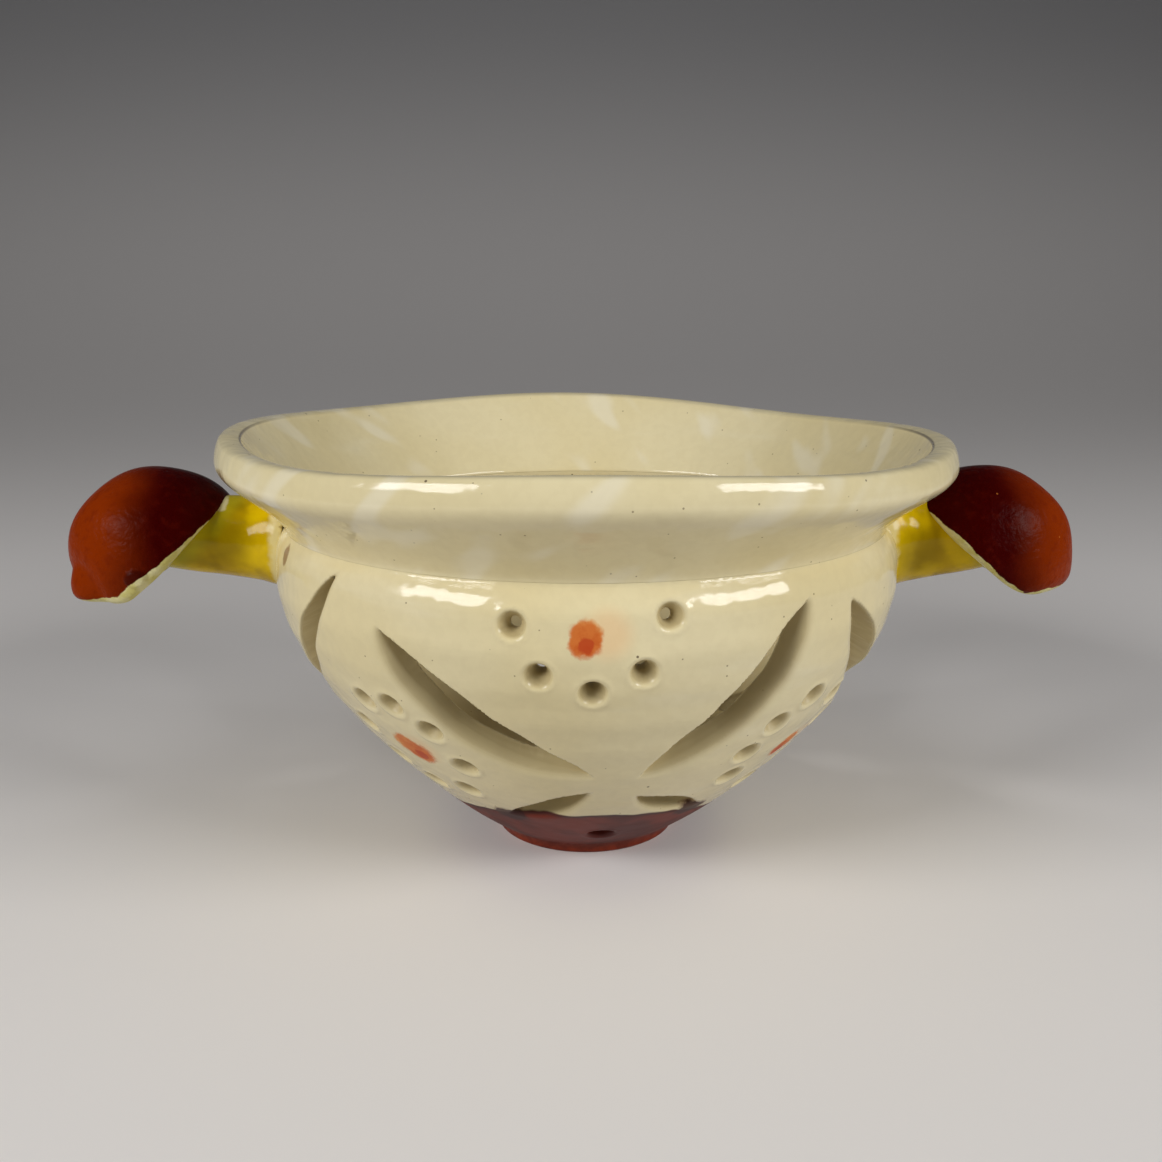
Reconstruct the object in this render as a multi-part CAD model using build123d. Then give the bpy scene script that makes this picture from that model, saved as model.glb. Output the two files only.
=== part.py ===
from build123d import *
from math import cos, radians, sin
import os

# Pierced earthenware berry bowl: a thrown belly, a flared collar, a turned foot ring,
# and two side handles, each a short lug with a cupped hood over its end.
# Millimetres, +Z up. The foot stands on z = 0 and the handles lie along X.
# Azimuths are in degrees, 0 at the front (-Y) and growing towards +X.

# Foot ring
FOOT_RADIUS = 21.5
FOOT_TOP_RADIUS = 22.9
FOOT_HEIGHT = 3.0
FOOT_WIDTH = 5.0
FOOT_ROUND = 0.8

# Belly: the outer curve leaves the foot at an angle and stands upright at the shoulder
BELLY_RADIUS = 71.0
SHOULDER_HEIGHT = 70.0
BELLY_START_ANGLE = 31.9
BELLY_START_REACH = 14.2
BELLY_END_REACH = 27.5
WALL = 5.0

# Floor inside the belly
FLOOR_THICKNESS = 5.0
FLOOR_FLAT_RADIUS = 10.0
INNER_START_REACH = 24.6
INNER_END_REACH = 20.4

# Crease, where the collar is joined to the belly
CREASE_RADIUS = 69.2
CREASE_HEIGHT = 75.5
SHOULDER_TURN = 2.6
CREASE_TURN = 1.0

# Collar: a hollow neck that flares out to a rolled lip
RIM_HEIGHT = 96.8
LIP_RADIUS = 82.5
LIP_DROP = 4.6
LIP_HEIGHT = RIM_HEIGHT - LIP_DROP
LIP_UNDERSIDE_INSET = 3.3
LIP_UNDERSIDE_DROP = 5.2
CREST_INSET = 3.9
CREST_RADIUS = LIP_RADIUS - CREST_INSET
LIP_WIDTH = 7.3
LIP_INNER_RADIUS = LIP_RADIUS - LIP_WIDTH
LIP_INNER_DROP = 4.8
LIP_INNER_HEIGHT = RIM_HEIGHT - LIP_INNER_DROP
COLLAR_START_ANGLE = 58.0
COLLAR_END_ANGLE = 41.0
COLLAR_REACH = 4.5
LIP_REACH = 2.2
CREST_REACH = 2.2

# Large leaf-shaped slots, each from its end on the left to its end on the right.
# They were cut by hand, so no two are quite alike.
LARGE_SLOT_ANGLES = (
    (-37.6, -2.8),
    (7.9, 33.1),
    (-84.5, -46.6),
    (44.6, 84.5),
    (-129.5, -95.5),
    (95.5, 129.5),
    (141.0, 174.5),
    (185.5, 219.0),
)
LARGE_SLOT_HEIGHTS = (
    (64.4, 33.3),
    (33.0, 69.6),
    (33.0, 72.5),
    (67.0, 33.0),
    (68.0, 33.0),
    (33.0, 68.0),
    (68.0, 33.0),
    (33.0, 68.0),
)
LARGE_SLOT_RISE = 2.2
LARGE_SLOT_DROP_INSIDE = 1.5
LARGE_SLOT_DROP_OUTSIDE = 11.5
LARGE_SLOT_RUN_OUT = 4.0

# Small leaf-shaped slots below them, in the same form
SMALL_SLOT_ANGLES = (
    (-27.4, -2.9),
    (9.2, 30.8),
    (62.0, 85.0),
    (95.0, 118.0),
    (152.0, 175.0),
    (185.0, 208.0),
    (-118.0, -95.0),
    (-85.0, -62.0),
)
SMALL_SLOT_HEIGHTS = (
    (17.1, 27.5),
    (25.9, 18.6),
    (18.0, 26.5),
    (26.5, 18.0),
    (18.0, 26.5),
    (26.5, 18.0),
    (18.0, 26.5),
    (26.5, 18.0),
)
SMALL_SLOT_RISE = 2.6
SMALL_SLOT_DROP_INSIDE = 1.5
SMALL_SLOT_DROP_OUTSIDE = 6.0
SMALL_SLOT_RUN_OUT = 2.0
SLOT_CUT_DEPTH = 7.0

# Funnel-shaped drain holes
HOLE_MOUTH_RADIUS = 3.0
HOLE_BORE_RADIUS = 1.3
HOLE_FUNNEL_DEPTH = 2.5
HOLE_CUT_DEPTH = 10.0
# A cup of holes between the front slots, and the same at the back
CUP_HOLE_ANGLES = (-14.6, -10.8, -2.6, 5.1, 8.9)
CUP_HOLE_HEIGHTS = (68.2, 58.5, 55.0, 59.1, 69.8)
CUP_TURNS = (0.0, 180.0)
# A ring of holes on each corner panel, with the clock angle of each hole round the ring's centre
RING_RADIUS = 12.4
RING_CENTRE_ANGLES = (-44.5, 48.0, 135.0, -135.0)
RING_CENTRE_HEIGHTS = (34.5, 34.0, 34.0, 34.0)
RING_HOLE_ANGLES = (
    (-154.0, -118.0, -43.0, -7.0, 40.0, 79.0, 112.0, 159.0),
    (-120.0, -70.0, -20.0, 25.0, 73.0, 110.0, 139.0, 169.0, 201.0),
    (0.0, 45.0, 90.0, 135.0, 180.0, 225.0, 270.0, 315.0),
    (0.0, 45.0, 90.0, 135.0, 180.0, 225.0, 270.0, 315.0),
)
# One hole low down under each pair of small slots
LOW_HOLE_ANGLES = (2.4, 90.0, 180.0, 270.0)
LOW_HOLE_HEIGHT = 9.8

# Hoods: cupped clay caps, half a flattened ball each, open downwards and towards the belly
HOOD_REACH = 116.3
HOOD_RADIUS = 20.8
HOOD_COLLAR_GAP = 2.0
HOOD_HALF_DEPTH = 18.0
HOOD_TOP_HEIGHT = 86.8
HOOD_WALL = 4.2
HOOD_TILT = 40.0
HOOD_LOW_HEIGHT = 55.8
BUD_RADIUS = 5.5
BUD_DROP_ANGLE = 26.0

# Lugs between the belly and the hoods
LUG_ROOT_HEIGHT = 69.5
LUG_ROOT_HALF_HEIGHT = 10.0
LUG_ROOT_HALF_WIDTH = 9.5
LUG_WAIST_HALF_HEIGHT = 9.4
LUG_WAIST_HALF_WIDTH = 9.8
LUG_END_HALF_HEIGHT = 9.4
LUG_END_HALF_WIDTH = 11.5
LUG_PRESS = 1.2
LUG_END_INSET = 3.5


def cubic_point(points, t):
    """Point of a cubic curve with four control points."""
    s = 1.0 - t
    weights = (s ** 3, 3 * s * s * t, 3 * s * t * t, t ** 3)
    return tuple(sum(weight * point[i] for weight, point in zip(weights, points)) for i in (0, 1))


def cubic_direction(points, t):
    """Direction of a cubic curve, not of unit length."""
    s = 1.0 - t
    weights = (s * s, 2 * s * t, t * t)
    steps = [(b[0] - a[0], b[1] - a[1]) for a, b in zip(points, points[1:])]
    return tuple(sum(weight * step[i] for weight, step in zip(weights, steps)) for i in (0, 1))


def belly_curve():
    """Outer curve of the belly, from the foot to the shoulder, as radius and height."""
    angle = radians(BELLY_START_ANGLE)
    start_radius = FOOT_TOP_RADIUS + BELLY_START_REACH * cos(angle)
    start_height = FOOT_HEIGHT + BELLY_START_REACH * sin(angle)
    return (
        (FOOT_TOP_RADIUS, FOOT_HEIGHT),
        (start_radius, start_height),
        (BELLY_RADIUS, SHOULDER_HEIGHT - BELLY_END_REACH),
        (BELLY_RADIUS, SHOULDER_HEIGHT),
    )


def shoulder_curve():
    """Outer curve from the shoulder in to the crease."""
    return (
        (BELLY_RADIUS, SHOULDER_HEIGHT),
        (BELLY_RADIUS, SHOULDER_HEIGHT + SHOULDER_TURN),
        (CREASE_RADIUS + CREASE_TURN, CREASE_HEIGHT - CREASE_TURN),
        (CREASE_RADIUS, CREASE_HEIGHT),
    )


def inner_curve():
    """Inner curve of the belly, from the flat of the floor to the shoulder."""
    floor_height = FOOT_HEIGHT + FLOOR_THICKNESS
    inner_radius = BELLY_RADIUS - WALL
    return (
        (FLOOR_FLAT_RADIUS, floor_height),
        (FLOOR_FLAT_RADIUS + INNER_START_REACH, floor_height),
        (inner_radius, SHOULDER_HEIGHT - INNER_END_REACH),
        (inner_radius, SHOULDER_HEIGHT),
    )


def toward(point, angle, distance):
    """Point at a distance from another, at an angle in degrees above the horizontal."""
    return point[0] + distance * cos(radians(angle)), point[1] + distance * sin(radians(angle))


def collar_curves():
    """Outer curves of the collar: the neck, the lip's underside and the roll up to the crest."""
    crease = (CREASE_RADIUS, CREASE_HEIGHT)
    underside = (LIP_RADIUS - LIP_UNDERSIDE_INSET, LIP_HEIGHT - LIP_UNDERSIDE_DROP)
    lip = (LIP_RADIUS, LIP_HEIGHT)
    crest = (CREST_RADIUS, RIM_HEIGHT)
    neck_start = toward(crease, COLLAR_START_ANGLE, COLLAR_REACH)
    neck_end = toward(underside, COLLAR_END_ANGLE, -COLLAR_REACH)
    swell_start = toward(underside, COLLAR_END_ANGLE, LIP_REACH)
    neck = (crease, neck_start, neck_end, underside)
    swell = (underside, swell_start, (LIP_RADIUS, LIP_HEIGHT - LIP_REACH), lip)
    roll = (lip, (LIP_RADIUS, LIP_HEIGHT + LIP_REACH), (CREST_RADIUS + CREST_REACH, RIM_HEIGHT), crest)
    return neck, swell, roll


def turned(edges):
    """Solid turned about the bowl's axis from a closed outline of radius and height."""
    return revolve(Plane.XZ * make_face(edges), Axis.Z)


def bowl_outside(clearance):
    """The bowl filled solid up to its rim and widened by a clearance, for fitting the handles to it."""
    curves = (belly_curve(), shoulder_curve(), *collar_curves())
    widened = [[(radius + clearance, height) for radius, height in curve] for curve in curves]
    start = widened[0][0]
    end = widened[-1][-1]
    return turned([
        Line((0, FOOT_HEIGHT), start),
        *[Bezier(*curve) for curve in widened],
        Line(end, (0, RIM_HEIGHT)),
        Line((0, RIM_HEIGHT), (0, FOOT_HEIGHT)),
    ])


def wall_place(azimuth, height):
    """Point on the belly's outer face at an azimuth and height, with the outward normal there."""
    curve = shoulder_curve() if height > SHOULDER_HEIGHT else belly_curve()
    low, high = 0.0, 1.0
    for _ in range(40):
        middle = (low + high) / 2
        if cubic_point(curve, middle)[1] < height:
            low = middle
        else:
            high = middle
    radius, level = cubic_point(curve, low)
    run, rise = cubic_direction(curve, low)
    outward = Vector(sin(radians(azimuth)), -cos(radians(azimuth)), 0)
    up = Vector(0, 0, 1)
    return outward * radius + up * level, (outward * rise - up * run).normalized()


def leaf(half_length, rise, drop):
    """Leaf outline between two points, bowed up by rise and down by drop."""
    return make_face([
        ThreePointArc((-half_length, 0), (0, rise), (half_length, 0)),
        ThreePointArc((half_length, 0), (0, -drop), (-half_length, 0)),
    ])


def slot_cutter(angles, heights, rise, drop_inside, drop_outside, run_out):
    """Bevelled leaf-shaped cutter, widest outside, square to the wall between its two ends."""
    left, right = [wall_place(angle, height)[0] for angle, height in zip(angles, heights)]
    _, normal = wall_place(sum(angles) / 2, sum(heights) / 2)
    along = (right - left).normalized()
    outward = (normal - along * normal.dot(along)).normalized()
    plane = Plane((left + right) / 2, x_dir=along, z_dir=outward)
    half_length = (right - left).length / 2
    inside = leaf(half_length - run_out, rise, drop_inside)
    outside = leaf(half_length + run_out, rise, drop_outside)
    sections = [
        plane.offset(-SLOT_CUT_DEPTH) * inside,
        plane.offset(SLOT_CUT_DEPTH) * outside,
    ]
    return loft(sections, ruled=True)


def slot_cutters():
    """Every slot, large and small."""
    large_form = (LARGE_SLOT_RISE, LARGE_SLOT_DROP_INSIDE, LARGE_SLOT_DROP_OUTSIDE, LARGE_SLOT_RUN_OUT)
    small_form = (SMALL_SLOT_RISE, SMALL_SLOT_DROP_INSIDE, SMALL_SLOT_DROP_OUTSIDE, SMALL_SLOT_RUN_OUT)
    large = [slot_cutter(*ends, *large_form) for ends in zip(LARGE_SLOT_ANGLES, LARGE_SLOT_HEIGHTS)]
    small = [slot_cutter(*ends, *small_form) for ends in zip(SMALL_SLOT_ANGLES, SMALL_SLOT_HEIGHTS)]
    return large + small


def hole_cutter(point, normal):
    """Funnel and bore of one drain hole, square to the wall at a point."""
    funnel_slope = (HOLE_MOUTH_RADIUS - HOLE_BORE_RADIUS) / HOLE_FUNNEL_DEPTH
    mouth_height = HOLE_FUNNEL_DEPTH / 2
    outline = Polyline(
        (0, -HOLE_CUT_DEPTH),
        (HOLE_BORE_RADIUS, -HOLE_CUT_DEPTH),
        (HOLE_BORE_RADIUS, -HOLE_FUNNEL_DEPTH),
        (HOLE_MOUTH_RADIUS + funnel_slope * mouth_height, mouth_height),
        (0, mouth_height),
        close=True,
    )
    return Plane(point, z_dir=normal) * turned(outline)


def ring_places(centre_angle, centre_height, hole_angles):
    """Points and normals of one ring of holes, laid on the wall round its centre."""
    point, normal = wall_place(centre_angle, centre_height)
    plane = Plane(point, x_dir=Vector(0, 0, 1).cross(normal), z_dir=normal)
    spokes = [toward((0, 0), angle, RING_RADIUS) for angle in hole_angles]
    return [(plane.from_local_coords(Vector(x, y, 0)), normal) for x, y in spokes]


def hole_cutters():
    """Every drain hole: the cups, the rings and the low holes."""
    places = []
    cup_holes = tuple(zip(CUP_HOLE_ANGLES, CUP_HOLE_HEIGHTS))
    for turn in CUP_TURNS:
        places += [wall_place(angle + turn, height) for angle, height in cup_holes]
    for ring in zip(RING_CENTRE_ANGLES, RING_CENTRE_HEIGHTS, RING_HOLE_ANGLES):
        places += ring_places(*ring)
    places += [wall_place(angle, LOW_HOLE_HEIGHT) for angle in LOW_HOLE_ANGLES]
    return [hole_cutter(point, normal) for point, normal in places]


def bowl_belly():
    """Thrown belly with its floor, pierced by the slots and drain holes."""
    inner = inner_curve()
    floor_start = inner[0]
    shoulder = inner[-1]
    solid = turned([
        Line((0, FOOT_HEIGHT), (FOOT_TOP_RADIUS, FOOT_HEIGHT)),
        Bezier(*belly_curve()),
        Bezier(*shoulder_curve()),
        Line((CREASE_RADIUS, CREASE_HEIGHT), (CREASE_RADIUS - WALL, CREASE_HEIGHT)),
        Line((CREASE_RADIUS - WALL, CREASE_HEIGHT), shoulder),
        Bezier(*inner),
        Line(floor_start, (0, floor_start[1])),
        Line((0, floor_start[1]), (0, FOOT_HEIGHT)),
    ])
    return solid - slot_cutters() - hole_cutters()


def rim_collar():
    """Flared collar with a rolled lip, seated on the belly at the crease."""
    inner_seat = (CREASE_RADIUS - WALL, CREASE_HEIGHT)
    inner_lip = (LIP_INNER_RADIUS, LIP_INNER_HEIGHT)
    return turned([
        Line(inner_seat, (CREASE_RADIUS, CREASE_HEIGHT)),
        *[Bezier(*curve) for curve in collar_curves()],
        Bezier(
            (CREST_RADIUS, RIM_HEIGHT),
            (CREST_RADIUS - CREST_REACH, RIM_HEIGHT),
            (LIP_INNER_RADIUS, LIP_INNER_HEIGHT + LIP_REACH),
            inner_lip,
        ),
        Line(inner_lip, inner_seat),
    ])


def foot_ring():
    """Turned ring that the bowl stands on."""
    inner_radius = FOOT_RADIUS - FOOT_WIDTH
    ring = turned(Polyline(
        (inner_radius, 0),
        (FOOT_RADIUS, 0),
        (FOOT_TOP_RADIUS, FOOT_HEIGHT),
        (inner_radius, FOOT_HEIGHT),
        close=True,
    ))
    return fillet(ring.edges().group_by(Axis.Z)[0], FOOT_ROUND)


def hood_centre():
    """Centre of the ball that the right hood is part of."""
    return Vector(HOOD_REACH - HOOD_RADIUS, 0, HOOD_TOP_HEIGHT - HOOD_RADIUS)


def flattened_ball(radius, half_depth):
    """Ball about the hood's centre, flattened along Y."""
    return Pos(hood_centre()) * scale(Sphere(radius), by=(1, half_depth / radius, 1))


def hood(with_bud):
    """Cupped hood of the right handle, clear of the bowl; a bud is the pinched tip at its low outer end."""
    centre = hood_centre()
    tilt = radians(HOOD_TILT)
    shell = flattened_ball(HOOD_RADIUS, HOOD_HALF_DEPTH)
    if with_bud:
        drop = radians(BUD_DROP_ANGLE)
        bud_offset = HOOD_RADIUS - BUD_RADIUS / 2
        shell += Pos(centre + Vector(cos(drop), 0, -sin(drop)) * bud_offset) * Sphere(BUD_RADIUS)
    shell -= flattened_ball(HOOD_RADIUS - HOOD_WALL, HOOD_HALF_DEPTH - HOOD_WALL)
    size = 4 * HOOD_RADIUS
    above = (Align.CENTER, Align.CENTER, Align.MIN)
    tilted = Plane(centre, x_dir=(0, 1, 0), z_dir=(sin(tilt), 0, cos(tilt)))
    kept_side = tilted * Box(size, size, size, align=above)
    kept_height = Pos(centre.X, 0, HOOD_LOW_HEIGHT) * Box(size, size, size, align=above)
    return (shell & kept_side & kept_height) - bowl_outside(HOOD_COLLAR_GAP)


def lug(hood_solid, outside):
    """Lug of the right handle, from the belly's wall into the hood's hollow."""
    centre = hood_centre()
    end_x = centre.X + LUG_END_INSET
    end_height = centre.Z + HOOD_RADIUS - HOOD_WALL + LUG_PRESS - LUG_END_HALF_HEIGHT
    root_x = BELLY_RADIUS - WALL
    waist_height = (LUG_ROOT_HEIGHT + end_height) / 2
    stations = (
        (root_x, LUG_ROOT_HEIGHT, LUG_ROOT_HALF_WIDTH, LUG_ROOT_HALF_HEIGHT),
        ((root_x + end_x) / 2, waist_height, LUG_WAIST_HALF_WIDTH, LUG_WAIST_HALF_HEIGHT),
        (end_x, end_height, LUG_END_HALF_WIDTH, LUG_END_HALF_HEIGHT),
    )
    sections = [
        Plane((x, 0, z), x_dir=(0, 1, 0), z_dir=(1, 0, 0)) * Ellipse(half_width, half_height)
        for x, z, half_width, half_height in stations
    ]
    return loft(sections) - outside - hood_solid


def main():
    os.makedirs("parts", exist_ok=True)
    outside = bowl_outside(clearance=0)
    left_hood = hood(with_bud=True)
    right_hood = hood(with_bud=False)
    nodes = {
        "bowl_belly": bowl_belly(),
        "rim_collar": rim_collar(),
        "foot_ring": foot_ring(),
        "left_lug": mirror(lug(left_hood, outside), about=Plane.YZ),
        "left_hood": mirror(left_hood, about=Plane.YZ),
        "right_lug": lug(right_hood, outside),
        "right_hood": right_hood,
    }
    for name, shape in nodes.items():
        export_step(shape, f"parts/{name}.step")


main()
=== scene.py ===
from math import atan2, cos, degrees, radians, sin

import bpy
import numpy as np
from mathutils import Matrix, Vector


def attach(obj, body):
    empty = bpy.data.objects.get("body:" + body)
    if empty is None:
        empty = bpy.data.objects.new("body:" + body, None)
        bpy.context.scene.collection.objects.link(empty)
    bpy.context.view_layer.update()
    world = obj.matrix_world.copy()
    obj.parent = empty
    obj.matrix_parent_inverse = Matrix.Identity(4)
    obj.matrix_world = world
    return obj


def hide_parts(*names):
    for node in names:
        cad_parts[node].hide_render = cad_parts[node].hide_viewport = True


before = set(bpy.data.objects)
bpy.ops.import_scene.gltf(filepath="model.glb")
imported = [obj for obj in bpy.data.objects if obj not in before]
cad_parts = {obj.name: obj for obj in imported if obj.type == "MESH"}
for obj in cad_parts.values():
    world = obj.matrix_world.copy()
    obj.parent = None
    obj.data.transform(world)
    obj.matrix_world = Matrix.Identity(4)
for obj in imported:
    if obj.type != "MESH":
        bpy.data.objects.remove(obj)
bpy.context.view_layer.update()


def rgb(red, green, blue):
    """A colour as it looks on screen, turned into linear light."""
    levels = [value / 255.0 for value in (red, green, blue)]
    return tuple(v / 12.92 if v <= 0.04045 else ((v + 0.055) / 1.055) ** 2.4 for v in levels) + (1.0,)


# A pierced, glazed earthenware berry bowl. Lengths are in millimetres until a mesh is made.
# Azimuths are in degrees, 0 at the front (-Y) and growing towards +X.
MM = 0.001

# Belly: the foot's top, how the outside leaves it, the widest place and the floor inside
FOOT_HEIGHT = 3.0
FOOT_TOP_RADIUS = 22.9
BELLY_START_ANGLE = 31.9
BELLY_START_PULL = 14.2
BELLY_RADIUS = 71.0
SHOULDER_HEIGHT = 64.5
FLOOR_RADIUS = 10.0
FLOOR_HEIGHT = 8.0
# Radius and height of the crease, outside and inside, and of the lip's crest and inner edge
CREASE = (68.4, 75.6)
INNER_CREASE = (63.1, 75.8)
LIP_CREST = (79.4, 96.8)
LIP_INNER_EDGE = (76.75, 96.35)
# Height of the point on the axis from which the belly's wall is measured
WALL_CENTRE_HEIGHT = 75.5
# The belly's tongue inside the collar: its top, its inset and its share of the collar's points
TONGUE_TOP = 77.3
TONGUE_INSET = 0.12
TONGUE_POINTS = 24

# Unevenness of the thrown wall: depths of its twofold and threefold waves and of its turning lines, the
# heights between which these come in and die out, and the share of it that the inside follows
WALL_WAVES = (0.22, 0.12)
TURNING_LINES = 0.07
WAVES_BEGIN = (6.0, 18.0)
LINES_BEGIN = (25.0, 40.0)
WAVES_END = (70.0, 75.0)
INSIDE_SHARE = 0.6
WALL_EDGE_ROUNDING = 0.2

# Slots: azimuths and heights of the left and right ends
LARGE_SLOTS = (
    ((-37.6, 64.4), (-2.8, 33.3)),
    ((44.6, 67.0), (84.5, 33.0)),
    ((-129.5, 68.0), (-95.5, 33.0)),
    ((95.5, 33.0), (129.5, 68.0)),
    ((141.0, 68.0), (174.5, 33.0)),
    ((185.5, 33.0), (219.0, 68.0)),
)
STEEP_SLOTS = (((7.9, 33.0), (33.1, 69.6)),)
NARROW_SLOTS = (((-86.0, 33.0), (-48.1, 73.3)),)
SMALL_SLOTS = (
    ((-27.4, 17.1), (-2.9, 27.5)),
    ((9.2, 25.9), (30.8, 18.6)),
    ((62.0, 18.0), (85.0, 26.5)),
    ((95.0, 26.5), (118.0, 18.0)),
    ((152.0, 18.0), (175.0, 26.5)),
    ((185.0, 26.5), (208.0, 18.0)),
    ((-118.0, 18.0), (-95.0, 26.5)),
    ((-85.0, 26.5), (-62.0, 18.0)),
)
# Rise, drop inside, drop outside and run-out of a slot's leaf, over the depth of its cut each way
LARGE_LEAF = (3.9, 5.6, 6.7, 5.0)
STEEP_LEAF = (3.9, 5.2, 5.6, 8.0)
NARROW_LEAF = (3.0, 1.5, 3.0, 3.0)
SMALL_LEAF = (2.6, 3.0, 4.6, 2.0)
SLOT_CUT_DEPTH = 7.0
SLOT_CUT_LIMIT = 1.2
# Slots of each kind with their leaf, and where the first one's wobble starts
SLOT_KINDS = (
    (LARGE_SLOTS, LARGE_LEAF, 0.7),
    (STEEP_SLOTS, STEEP_LEAF, 1.7),
    (NARROW_SLOTS, NARROW_LEAF, 2.7),
    (SMALL_SLOTS, SMALL_LEAF, 9.1),
)
# Wobble of a hand-cut edge: height, radians for each millimetre along it, and change from slot to slot
SLOT_WOBBLES = ((0.3, 0.17, 1.0), (0.14, 0.43, 2.3))
# Rounding of a slot's tips and edges, more on its lower lip, as a share of its drop outside, and the
# distances past the middle and the depths between which that lip comes in
SLOT_TIP_ROUNDING = 0.8
SLOT_EDGE_ROUNDING = 0.5
SLOT_LIP_SHARE = 0.45
SLOT_LIP_TURN = (-1.5, 1.5)
SLOT_LIP_DEPTHS = (-2.0, 2.5)
# How far from a slot's ends its cut is worked out
SLOT_MARGIN = 12.0

# Drain holes: mouth radius, bore radius and funnel depth
CUP_HOLE_SIZES = (2.7, 1.15, 2.8)
RING_HOLE_SIZES = (2.95, 1.4, 2.6)
LOW_HOLE_SIZES = (3.1, 2.7, 0.6)
# Azimuths and heights of the holes. Those of the cup and rings at the back are guessed from the front.
CUP_HOLES = ((-14.6, 68.2), (-10.8, 58.5), (-2.6, 55.0), (5.1, 59.1), (8.9, 69.8))
# Rings of holes: azimuth and height of the middle, and each hole's clock angle, from the right and growing
# upwards, on an oval that reaches this far across and up the wall
RINGS = (
    ((-42.5, 34.8), (-10.0, 35.0, 75.0, 115.0, 165.0, 210.0, 250.0, 300.0)),
    ((43.7, 34.8), (10.0, 50.0, 105.0, 145.0, 180.0, 215.0, 275.0, 320.0)),
)
RING_REACH = (12.6, 16.0)
LOW_HOLES = ((2.4, 9.8), (90.0, 9.8), (180.0, 9.8), (270.0, 9.8))
# Turns at which the cup and the rings repeat
FRONT_AND_BACK = (0.0, 180.0)
# Rounding where a funnel meets its bore and at its mouth, and how far from a hole its cut is worked out
FUNNEL_ROUNDING = 0.4
MOUTH_ROUNDING = 0.5
HOLE_MARGIN = 12.0
# Clay raised round a hole: its height, distance from the mouth, width and depth, and how far it is worked out
BEAD_HEIGHT = 0.14
BEAD_DISTANCE = 0.7
BEAD_WIDTH = 0.6
BEAD_DEPTH = 2.5
BEAD_MARGIN = 7.0

# Painted dots, at the middle of each cup and ring: azimuth and height where the brush came down and left,
# and the brush's radius
DOTS = (
    ((-3.7, 66.7), (-3.7, 65.3), 3.4),
    ((-43.4, 35.3), (-41.0, 33.7), 4.2),
    ((46.8, 33.4), (45.0, 31.8), 3.0),
    ((176.3, 66.7), (176.3, 65.3), 3.4),
    ((136.6, 35.3), (139.0, 33.7), 4.2),
    ((226.8, 33.4), (225.0, 31.8), 3.0),
)
# How far a dot's halo lies beside it, in degrees, and how far its dark pool lies below its end
HALO_SHIFT = 3.2
DOT_POOL_DROP = 0.6

# Hoods, as if both were on the right: a ball's centre and its radii along X and Z, the low end, how far the
# slanting cut lies below the centre at its ends and where along it that changes, and the swellings of its
# pale edge, each with its place along the cut, spread and width
HOODS = {
    "left": {
        "centre": (97.3, 0.0, 67.8),
        "radii": (20.4, 19.5),
        "low": 58.7,
        "low_rounding": 2.2,
        "cut_drop": (1.2, 3.6),
        "cut_bend": (-22.0, 2.0),
        "pale_edge": ((4.0, 12.0, 2.6),),
    },
    "right": {
        "centre": (94.2, 0.0, 64.9),
        "radii": (21.5, 21.1),
        "low": 57.1,
        "low_rounding": 5.0,
        "cut_drop": (1.2, 2.6),
        "cut_bend": (-21.0, -9.0),
        "pale_edge": ((-10.5, 8.0, 1.2), (14.0, 10.0, 2.2)),
    },
}
HOOD_HALF_DEPTH = 17.7
HOOD_WALL = 4.2
HOOD_TILT = 40.0
HOOD_DENTS = (0.2, 0.15)
HOOD_HOLLOW_ROUNDING = 0.6
HOOD_CUT_ROUNDING = 1.6
# The left hood's pinched bud, with the depth, place and width of the groove round it, and its thumb pad
BUD_CENTRE = (110.4, -7.6, 62.0)
BUD_RADIUS = 5.3
BUD_BLEND = 2.4
BUD_GROOVE = 0.6
BUD_GROOVE_PLACE = 0.8
BUD_GROOVE_WIDTH = 2.0
PAD_CENTRE = (98.8, -17.4, 65.5)
PAD_RADII = (2.9, 2.6, 2.4)
PAD_FLAT_SHARE = 0.65
PAD_RISE = 0.8

# Lugs, as if both were on the right, at the root, waist and end: reach, height, half width and half height
LUGS = {
    "left": ((68.2, 69.7, 9.5, 9.8), (82.5, 71.5, 9.8, 9.1), (99.0, 74.3, 11.5, 9.3)),
    "right": ((68.2, 68.2, 9.5, 11.2), (82.5, 70.2, 9.8, 10.6), (99.0, 73.4, 11.5, 10.9)),
}
# Flare of a lug's root: where it dies out, and how far it stands out to each side, up and down
LUG_FLARE_ENDS = (68.5, 77.0)
LUG_FLARE_SIDE = 2.5
LUG_FLARE_UP = 2.2
LUG_FLARE_DOWN = 0.4
LUG_DENTS = 0.25
LUG_END_ROUNDING = 3.0
# Where each lug is darker olive, where the yellow glaze ran on to the bowl above each lug, and where it
# stayed thin on the left lug
LUG_DARK_PATCHES = ((-81.0, -9.0, 72.5), (75.5, -9.0, 67.5))
YELLOW_RUN_PLACE = (75.0, -1.0, 78.0)
YELLOW_RUN_RADII = (6.2, 15.0, 6.0)
LUG_TIP_PLACE = (-82.3, -4.0, 79.8)
LUG_TIP_RADII = (1.6, 5.0, 2.2)

# How far the hand-thrown rim sinks on the whole, and its waves: number, height and azimuth of a crest
RIM_SINK = 1.6
RIM_WAVES = ((1, 1.0, -70.0), (2, 0.65, 15.5), (4, 0.9, -2.0))
# Heights between which the waves come in, and how far the rim is out of round: number, share and start
RIM_WAVES_BEGIN = (77.0, 96.0)
RIM_OVALS = ((2, 0.004, 0.6), (5, 0.002, 1.0))

# Edge of the red slip on the base: its height, how far it wanders, and the waves in it as for the rim
SLIP_HEIGHT = 14.8
SLIP_WANDER = 2.4
SLIP_WAVES = ((1, 1.4, -90.0), (2, 4.2, 4.0))
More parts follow.
